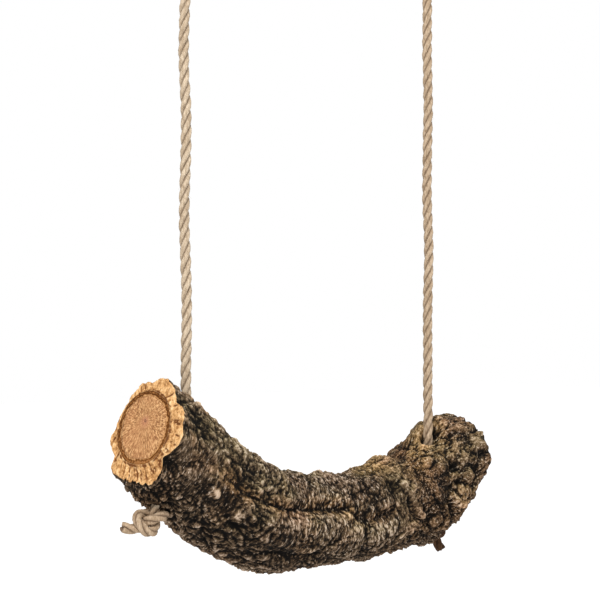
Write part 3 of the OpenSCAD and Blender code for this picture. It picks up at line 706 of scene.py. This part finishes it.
# Long folds and cracks: depth, width in millimetres, then places along and angles round
creases = [
    (2.6, 1.7, (0.16, 177), (0.206, 173), (0.246, 168), (0.286, 164), (0.339, 158), (0.399, 154),
     (0.445, 153), (0.481, 152), (0.506, 156), (0.526, 168), (0.544, 176), (0.571, 176), (0.601, 176),
     (0.63, 172)),
    (2.4, 1.6, (0.27, 221), (0.308, 219), (0.345, 214), (0.39, 216), (0.428, 216)),
    (1.8, 1.4, (0.545, 178), (0.549, 190), (0.545, 205), (0.559, 226)),
    (1, 1.2, (0.3, 172), (0.338, 170), (0.39, 168), (0.43, 170)),
    (2.8, 1.7, (0.867, 173), (0.842, 182), (0.831, 195), (0.845, 212), (0.85, 228)),
    (2, 1.5, (0.867, 173), (0.885, 180), (0.907, 184), (0.935, 190)),
    (1.7, 1.5, (0.94, 99), (0.915, 111), (0.89, 120)), (1.6, 1.4, (0.955, 138), (0.94, 152), (0.928, 166)),
    (1.5, 1.4, (0.625, 185), (0.632, 198), (0.63, 210)), (3.4, 2.2, (0.905, 110), (0.945, 107), (1, 106)),
    (3.4, 2.2, (0.93, 134), (0.965, 130), (1, 128)), (3.2, 2.2, (0.93, 150), (0.96, 157), (1, 157)),
    (2.6, 2, (0.905, 86), (0.93, 80), (0.955, 66)), (2.8, 2, (0.835, 100), (0.86, 108), (0.885, 112)),
    (2.4, 1.8, (0.79, 160), (0.775, 172), (0.79, 188), (0.8, 205)),
    (2.2, 1.8, (0.73, 160), (0.725, 175), (0.735, 196)),
    (2, 1.6, (0.665, 156), (0.675, 168), (0.672, 182), (0.69, 196)),
    (2.4, 1.8, (0.905, 128), (0.88, 140), (0.862, 152), (0.855, 166))]


def crease(places, wide):
    """1 along a line over the skin, fading to 0 over that many millimetres."""
    nearest = np.full(bark_r.shape, 99.0)
    for (u_a, a_a), (u_b, a_b) in zip(places[:-1], places[1:]):
        along, around = (u_b - u_a) * run[-1], round_to(a_b, a_a)
        dx, dy = u_down * run[-1] - u_a * run[-1], round_to(degrees, a_a)
        share = np.clip((dx * along + dy * around) / (along ** 2 + around ** 2), 0, 1)
        nearest = np.minimum(nearest, np.hypot(dx - share * along, dy - share * around))
    return np.exp(-(np.maximum(nearest + 0.9 * grain + 0.5 * (1 - wrinkle), 0) / wide) ** 2)


crease_depth, crease_width = 0.62, 0.8
broken = 0.35 + 0.65 * ramp(-0.35, 0.25, rough(11, shift=61))
for depth, wide, *places in creases:
    detail -= crease_depth * depth * broken * crease(places, crease_width * wide)
# Two pits, and four small grown knobs on the front, each in a ring that lies deeper
detail -= 3.5 * spot(0.886, 161, 3.6) + 1.5 * spot(0.845, 123, 2.6)
for at_u, at_angle, size in ((0.15, 198, 3.8), (0.203, 199, 4.2), (0.677, 150, 3.2), (0.704, 158, 3)):
    ring = spot(at_u, at_angle, 1.7 * size) - spot(at_u, at_angle, 1.1 * size)
    detail += 2.9 * spot(at_u, at_angle, size) - 1.6 * ring
detail -= detail.mean() - 0.15
bark_r = bark_r + detail * (0.65 + 0.35 * ramp(0, 0.014, u_down))


def near_axis(point, direction):
    """Distance of the skin from a hole's axis, far off on the other side of the log."""
    this_side, far_off = -14, 99
    off = skin - point
    ahead = off @ direction
    beside = np.linalg.norm(off - ahead[..., None] * direction, axis=-1)
    return np.where(ahead > this_side, beside, far_off)


# The right hollow also leans towards the far end, where its rope sways to
foot_r, seat_r = 5.9, 6.5
for hand, deep, leans, sink in (
        ("left", 7, [(0, 0, 1)], 1.5),
        ("right", 9.5, [(0, 0, 1), (0.15, 0, 0.99), (0.3, 0, 0.954)], 9)):
    foot, seat, way = holes[hand]
    hollows = [np.exp(-(near_axis(foot, np.array(lean)) / foot_r) ** 4) for lean in leans]
    bark_r -= deep * np.max(hollows, axis=0)
    bark_r -= sink * np.exp(-(near_axis(seat, way) / seat_r) ** 4)
skin = on_section(middle, up, bark_r)


def evened(field, rounds):
    """The field averaged over its neighbours along and round the log."""
    for _ in range(rounds):
        padded = np.vstack([field[:1], field, field[-1:]])
        field = (2 * field + padded[:-2] + padded[2:] + np.roll(field, 1, 1) + np.roll(field, -1, 1)) / 6
    return field


# What the finish needs to know of the skin: crevices and broad hollows, for painted shade in them and painted
# highlight on the tips and mounds between them, and warm places
crevice_depth, hollow_depth = 0.5, 2
cavity = np.clip((bark_r - evened(bark_r, 10)) / crevice_depth, -1.5, 1.5 - 0.9 * knobby)
hollow = np.clip((bark_r - evened(bark_r, 90)) / hollow_depth, -1.5 + 0.3 * knobby, 1.5 - 0.6 * knobby)
warm = 0.7 * crease(creases[0][2:], 6) + 0.7 * spot(0.8, 100, 26) + 0.5 * spot(0.66, 100, 16)
warm = np.clip(warm + 0.6 * rough(24, shift=51) + 0.42 * knobby, 0, 1)
# Stains and rubbed places, with the dark patches low on the front near the sawn end (about 230 to 255 degrees
# round) painted in as shade: place along, angle round, size and how much darker or paler
stain = np.zeros_like(bark_r)
for at_u, at_angle, size, change in (
        (0.045, 148, 9, -1), (0.08, 158, 8, -0.9), (0.035, 255, 18, -0.9), (0.1, 240, 14, -0.35),
        (0.173, 246, 15, -0.3), (0.234, 230, 14, -0.2), (0.301, 228, 15, -0.25), (0.24, 196, 9, -0.7),
        (0.3, 190, 8, -0.5), (0.36, 222, 8, -0.6), (0.43, 226, 14, -0.4), (0.22, 215, 8, -0.4),
        (0.31, 205, 9, -0.4), (0.09, 184, 16, 0.5), (0.045, 170, 6, 0.8), (0.125, 180, 5, 0.9),
        (0.15, 198, 7.5, -0.9), (0.15, 198, 3, 0.9), (0.15, 200, 1.3, -0.9), (0.203, 199, 4, 0.1),
        (0.136, 128, 14, 0.5), (0.06, 122, 10, 0.5), (0.21, 168, 10, -0.3), (0.329, 168, 9, 0.7),
        (0.46, 174, 11, 0.4), (0.52, 186, 7, 0.5), (0.557, 189, 12, 0.35), (0.61, 192, 8, 0.5),
        (0.655, 202, 8, 0.7), (0.39, 140, 12, 0.2), (0.51, 105, 14, 0.5), (0.36, 110, 10, 0.3),
        (0.58, 148, 13, -0.7), (0.62, 136, 11, -0.5), (0.545, 165, 6, -0.3), (0.682, 108, 22, 0.5),
        (0.852, 116, 9, 0.6), (0.91, 112, 6, -0.3), (0.975, 108, 8, 0.6), (0.886, 199, 12, 0.9),
        (0.836, 163, 8, -0.9), (0.794, 188, 13, -0.8), (0.888, 161, 6, -1), (0.96, 160, 6, -0.6),
        (0.985, 143, 7, 0.2), (0.71, 172, 5, 0.5), (0.69, 150, 6, 0.4), (0.85, 226, 12, -0.6),
        (0.66, 240, 18, -0.3)):
    stain += change * spot(at_u, at_angle, size)
# The underside is also painted darker, as shade.
stain = np.clip(stain + 0.4 * rough(17, shift=41.5) + 0.3 * rough(7, shift=47.5) - 0.2 * under, -1.2, 1.4)
crossways = np.clip(wrinkled + 0.3 * fine_cut + 0.5 * smooth, 0, 1)


def round_noise(radius, height):
    """Noise round a closed circle. A larger radius gives finer noise."""
    return np.array([noise.noise((radius * math.cos(a), radius * math.sin(a), height)) for a in angle])


core_u = np.linspace(0, 1, 19)


def core_rings(radius):
    """Rings of the grown layers under the cork, which lie off centre towards the near end."""
    places, mean, ups = stations_at(core_u)
    fading = 1 - core_u[:, None]
    rings = radius * (mean / mean_r)[:, None]
    rings = rings * (1 + core_oval_share * np.cos(2 * np.radians(degrees - core_oval_angle)) * fading)
    rings *= 1 - core_taper * (1 - fading ** 3)
    rings += 1.1 * round_noise(1.7, round(radius / 9) + 0.5) + 0.25 * round_noise(13, round(radius / 3) + 7.5)
    return on_section(places + fading * (np.array([0, pith_side, 0]) + pith_up * ups), ups, rings)


def end_normal(at_u):
    """The way out of the log, square to its near (0) or far (1) sawn end."""
    return unit(np.cross([0, 1, 0], up[-at_u])) * (2 * at_u - 1)


def sawn_rows(outer, inner, count, at_u, relief, seed, split):
    """Rows across a sawn end, from one ring to another, with a torn grain and radial splits."""
    share = np.arange(1, count)[:, None, None] / count
    rows = outer[None] * (1 - share) + inner[None] * share
    torn = noise_at(rows / 1.5 + seed) + 0.6 * noise_at(rows / 3.6 + seed)
    split_width = 0.09 + 0.17 * np.exp(-(turn_of(degrees, 262) / 55) ** 2)
    gaps = np.exp(-(round_noise(5.5, seed) / split_width) ** 2)
    gaps = gaps * np.sin(np.pi * share[..., 0]) * ramp(-0.45, 0, torn)
    rows += ((relief * torn - split * gaps)[..., None]) * end_normal(at_u)
    return rows, gaps


def grid_piece(name, rows, materials, closed=True, **fields):
    """One object of rows of points round the log. An open one is filled by a middle point at both ends."""
    count, sides = rows.shape[:2]
    joined = count if closed else count - 1
    i, j = np.meshgrid(np.arange(joined), np.arange(sides), indexing="ij")
    k, m = (i + 1) % count, (j + 1) % sides
    faces = np.stack([i * sides + m, k * sides + m, k * sides + j, i * sides + j], -1).reshape(-1, 4).tolist()
    points = rows.reshape(-1, 3)
    if not closed:
        points = np.vstack([points, rows[0].mean(0), rows[-1].mean(0)])
        tip, last = len(points) - 2, (count - 1) * sides
        faces += [(tip, n, (n + 1) % sides) for n in range(sides)]
        faces += [(tip + 1, last + (n + 1) % sides, last + n) for n in range(sides)]
    return mesh_piece(name, points, faces, materials, fields)


def graded(tree, value, stops):
    """Colours for a value from 0 to 1."""
    made = add(tree, "ShaderNodeValToRGB", [(0, value)])
    band = made.color_ramp
    while len(band.elements) < len(stops):
        band.elements.new(0.5)
    for element, (place, colour) in zip(band.elements, stops):
        element.position = place
        element.color = (*colour, 1)
    return made.outputs[0]


cork_skin, tree = new_material("cork_bark_skin")
place = carried(tree, "bark_place", "Vector")
across = add(tree, "ShaderNodeMapping", [("Vector", place), ("Scale", (0.85, 0.27, 0.27))]).outputs[0]
streaks = cloudy(tree, across, 1, 5, 0.68)
crumbs = cloudy(tree, place, 0.75, 5, 0.72)
blots = cloudy(tree, place, 0.07, 4, 0.6)
clouds = cloudy(tree, place, 0.03, 3)
fine = add(tree, "ShaderNodeMix", [(0, carried(tree, "crossways")), (2, crumbs), (3, streaks)]).outputs[0]
stained = carried(tree, "stain")
facing = add(tree, "ShaderNodeNewGeometry").outputs["Normal"]
up_facing = add(tree, "ShaderNodeSeparateXYZ", [(0, facing)]).outputs["Z"]
# Painted shade and highlight: the colour's level falls in crevices and broad hollows and rises on the tips
# and mounds between them.
level = maths(tree, "MULTIPLY_ADD", carried(tree, "cavity"), 0.22, 0.44)
level = maths(tree, "MULTIPLY_ADD", carried(tree, "hollow"), 0.12, level)
level = maths(tree, "MULTIPLY_ADD", stained, 0.2, level)
level = maths(tree, "ADD", spans(tree, fine, 0.28, 0.72, -0.42, 0.42), level)
# Painted light: the faces that turn upwards are made a little paler.
level = maths(tree, "ADD", spans(tree, up_facing, 0, 0.9, 0, 0.05), level)
brown = graded(tree, level, [
    (0.17, (0.002, 0.0013, 0.0009)), (0.38, (0.021, 0.013, 0.0072)), (0.54, (0.082, 0.052, 0.03)),
    (0.72, (0.19, 0.125, 0.077)), (0.98, (0.56, 0.43, 0.32))])
olive = graded(tree, level, [
    (0.17, (0.0025, 0.002, 0.001)), (0.38, (0.028, 0.02, 0.0092)), (0.54, (0.108, 0.078, 0.038)),
    (0.72, (0.245, 0.183, 0.096)), (0.98, (0.6, 0.49, 0.33))])
lichen = maths(tree, "MULTIPLY", spans(tree, clouds, 0.4, 0.6), spans(tree, up_facing, -0.3, 0.8, 0.1))
colour = mixed(tree, lichen, brown, olive)
colour = mixed(tree, carried(tree, "warm"), colour, (1.5, 1.22, 0.92, 1), "MULTIPLY")
# Painted highlights: pale flecks of the fine grain on the brighter places, standing for glints of light on
# the bark's raised edges.
fleck_highlight = maths(tree, "MULTIPLY", spans(tree, fine, 0.575, 0.635), spans(tree, level, 0.35, 0.75, 0.12, 0.85))
colour = mixed(tree, fleck_highlight, colour, mixed(tree, lichen, (0.63, 0.51, 0.4, 1), (0.64, 0.54, 0.38, 1)))
colour = mixed(tree, spans(tree, fine, 0.42, 0.35, 0, 0.8), colour, (0.012, 0.008, 0.005, 1))
rosy = maths(tree, "MULTIPLY", spans(tree, stained, 0.35, 0.9, 0, 0.55), spans(tree, blots, 0.4, 0.6, 0.3))
colour = mixed(tree, rosy, colour, (1.24, 1.06, 0.96, 1), "MULTIPLY")
rub = add(tree, "ShaderNodeBump", [("Height", fine), ("Strength", 1), ("Distance", 0.0011)]).outputs[0]
finished(tree, colour, 0.85, 0.1, rub)

sawn_cork, tree = new_material("sawn_cork")
place = own_place(tree)
grains = add(tree, "ShaderNodeTexVoronoi", [("Vector", place), ("Scale", 430)]).outputs["Distance"]
soft, pitted = fine_grain(tree, place, 330, 0.72, 0.0008, 0.7, 0.34, 0.66)
tone = maths(tree, "ADD", soft, spans(tree, grains, 0.1, 0.75, 0.14, -0.18))
tone = maths(tree, "ADD", spans(tree, cloudy(tree, place, 110, 3, 0.6), 0.3, 0.7, -0.28, 0.22), tone)
colour = graded(tree, tone, [
    (0, (0.37, 0.165, 0.052)), (0.3, (0.62, 0.33, 0.126)), (0.6, (0.82, 0.475, 0.205)),
    (1, (0.95, 0.68, 0.365))])
colour = mixed(tree, spans(tree, carried(tree, "opened"), 0.22, 0.7), colour, (0.16, 0.055, 0.014, 1))
finished(tree, colour, 0.9, 0.2, pitted)

inner_wall = core_rings(wood_r + inner_bark_t + bond_gap)
cork_rows, cork_torn, cork_split = 10, 0.45, 1.4
far_rows, far_gaps = sawn_rows(skin[-1], inner_wall[-1], cork_rows, 1, cork_torn, 5.5, cork_split)
near_rows, near_gaps = sawn_rows(inner_wall[0], skin[0], cork_rows, 0, cork_torn, 8.5, cork_split)
rows = np.concatenate([skin, far_rows, inner_wall[::-1], near_rows])
edge_torn = 0.35 + 0.6 * ramp(-0.25, 0.2, round_noise(15, 4.5))
near_gaps[0], far_gaps[-1] = np.maximum(near_gaps[0], edge_torn), np.maximum(far_gaps[-1], edge_torn)
wall_torn = 0 * inner_wall[..., 0]
wall_torn[[0, -1]] = 0.5 * edge_torn
opened = np.concatenate([0 * skin[..., 0], far_gaps, wall_torn, near_gaps])
cork = grid_piece("cork_bark_grown", rows, [cork_skin, sawn_cork], cavity=cavity, hollow=hollow, stain=stain,
                  crossways=crossways, warm=warm, opened=opened, bark_place=unrolled + 1.5 * warp)
is_sawn = np.repeat(np.arange(len(rows)) > bark_along - 2, bark_round)
cork.data.polygons.foreach_set("material_index", is_sawn.astype(np.int32))
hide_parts("left_cork_bark", "middle_cork_bark", "right_cork_bark")
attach(cork, "log")

# The inner bark: a thin dark layer between cork and wood, dry and cracked, which shows at
# both sawn ends as a brown double ring, a little below the saw cut.
inner_bark, tree = new_material("dry_inner_bark")
place = own_place(tree)
crumbs, crumbled = fine_grain(tree, place, 620, 0.7, 0.0006, 0.7)
level = maths(tree, "ADD", spans(tree, crumbs, 0, 1, -0.38, 0.38), carried(tree, "across"))
colour = graded(tree, level, [
    (0, (0.105, 0.036, 0.009)), (0.35, (0.33, 0.135, 0.04)), (0.65, (0.43, 0.21, 0.078)),
    (1, (0.64, 0.35, 0.15))])
finished(tree, colour, 0.9, 0.05, crumbled)
outside = core_rings(wood_r + inner_bark_t)
inside = core_rings(wood_r + bond_gap)
ring_rows, ring_torn, ring_split = 13, 0.3, 0.6
jagged = 0.2 * round_noise(8, 2.5) + 0.34 * round_noise(19, 6.5)
in_ring = np.arange(1, ring_rows)[:, None] / ring_rows
below = np.exp(-(turn_of(degrees, 258) / 50) ** 2)
band = np.exp(-((in_ring - 0.34 - 0.1 * below + 0.5 * jagged) / 0.42) ** 6)
cracked = np.exp(-((in_ring - 0.52 - 0.2 * below + jagged) / 0.17) ** 2)
outer_crack = np.exp(-((in_ring - 0.06 + 0.3 * jagged) / 0.12) ** 2)
ring_tone = 0.95 - (0.68 - 0.18 * below) * band - 0.48 * cracked - 0.36 * outer_crack
ring_tone += 0.1 * round_noise(44, 16.5)
ring_sink = 0.35 * cracked + 0.35 * outer_crack
far_rows, _ = sawn_rows(outside[-1], inside[-1], ring_rows, 1, ring_torn, 15.5, ring_split)
near_rows, _ = sawn_rows(inside[0], outside[0], ring_rows, 0, ring_torn, 18.5, ring_split)
far_rows -= ring_sink[..., None] * end_normal(1)
near_rows -= ring_sink[::-1, :, None] * end_normal(0)
rows = np.concatenate([outside, far_rows, inside[::-1], near_rows])
across = np.concatenate([0 * outside[..., 0], ring_tone, 0 * inside[..., 0], ring_tone[::-1]])
layer = grid_piece("inner_bark_layer", rows, [inner_bark], across=across)
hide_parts("inner_bark")
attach(layer, "log")

# The wood: the pale branch inside, sawn across at both ends, with a pinkish pith, fine rays
# and faint growth rings.
sawn_wood, tree = new_material("sawn_wood")
place = own_place(tree)
from_heart = carried(tree, "from_pith")
fuzz, sawn = fine_grain(tree, place, 700, 0.65, 0.0005, 0.6)
lines = cloudy(tree, carried(tree, "ray_place", "Vector"), 1, 3, 0.6)
rings = maths(tree, "SINE", maths(tree, "MULTIPLY", from_heart, 42))
tone = maths(tree, "MULTIPLY_ADD", rings, 0.05, spans(tree, lines, 0.3, 0.7))
tone = maths(tree, "ADD", spans(tree, fuzz, 0, 1, -0.22, 0.22), tone)
colour = graded(tree, tone, [
    (0.05, (0.145, 0.055, 0.018)), (0.5, (0.478, 0.228, 0.086)), (0.95, (0.865, 0.53, 0.25))])
blotted = spans(tree, cloudy(tree, place, 90, 3), 0.35, 0.65, 0, 0.35)
colour = mixed(tree, blotted, colour, (0.5, 0.216, 0.088, 1))
colour = mixed(tree, spans(tree, from_heart, 0.26, 0, 0, 0.65), colour, (0.47, 0.175, 0.105, 1))
finished(tree, colour, 0.82, 0.25, sawn)
wood_wall = core_rings(wood_r)
pith_rise, spoke_r, spoke_l = 5, 21, 8
wood_steps = 22
pith_share = (np.arange(1, wood_steps) / wood_steps) ** 0.9
rays = 0.6 * round_noise(17, 0.5) + round_noise(37, 3.5)


def wood_end(at_u):
    """Rows from the rim of a sawn end of the wood to its pith."""
    edge = wood_wall[-at_u]
    heart = edge.mean(0) + pith_rise * up[-at_u]
    share = pith_share[:, None, None]
    rows = edge[None] * (1 - share) + heart * share
    rise = 0.1 * noise_at(rows / 1.4) + 0.09 * rays[None, :] * (1 - share[..., 0])
    return rows + rise[..., None] * end_normal(at_u)


rows = np.concatenate([wood_end(0)[::-1], wood_wall, wood_end(1)])
from_pith = np.concatenate([1 - pith_share[::-1], np.ones(len(core_u)), 1 - pith_share])
from_pith = np.broadcast_to(from_pith[:, None], rows.shape[:2])
ray_place = np.broadcast_arrays(spoke_r * np.cos(angle), spoke_r * np.sin(angle), spoke_l * from_pith)
ray_place = np.stack(ray_place, -1)
wood = grid_piece("wood_branch", rows, [sawn_wood], closed=False, from_pith=from_pith, ray_place=ray_place)
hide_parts("wood_core")
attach(wood, "log")
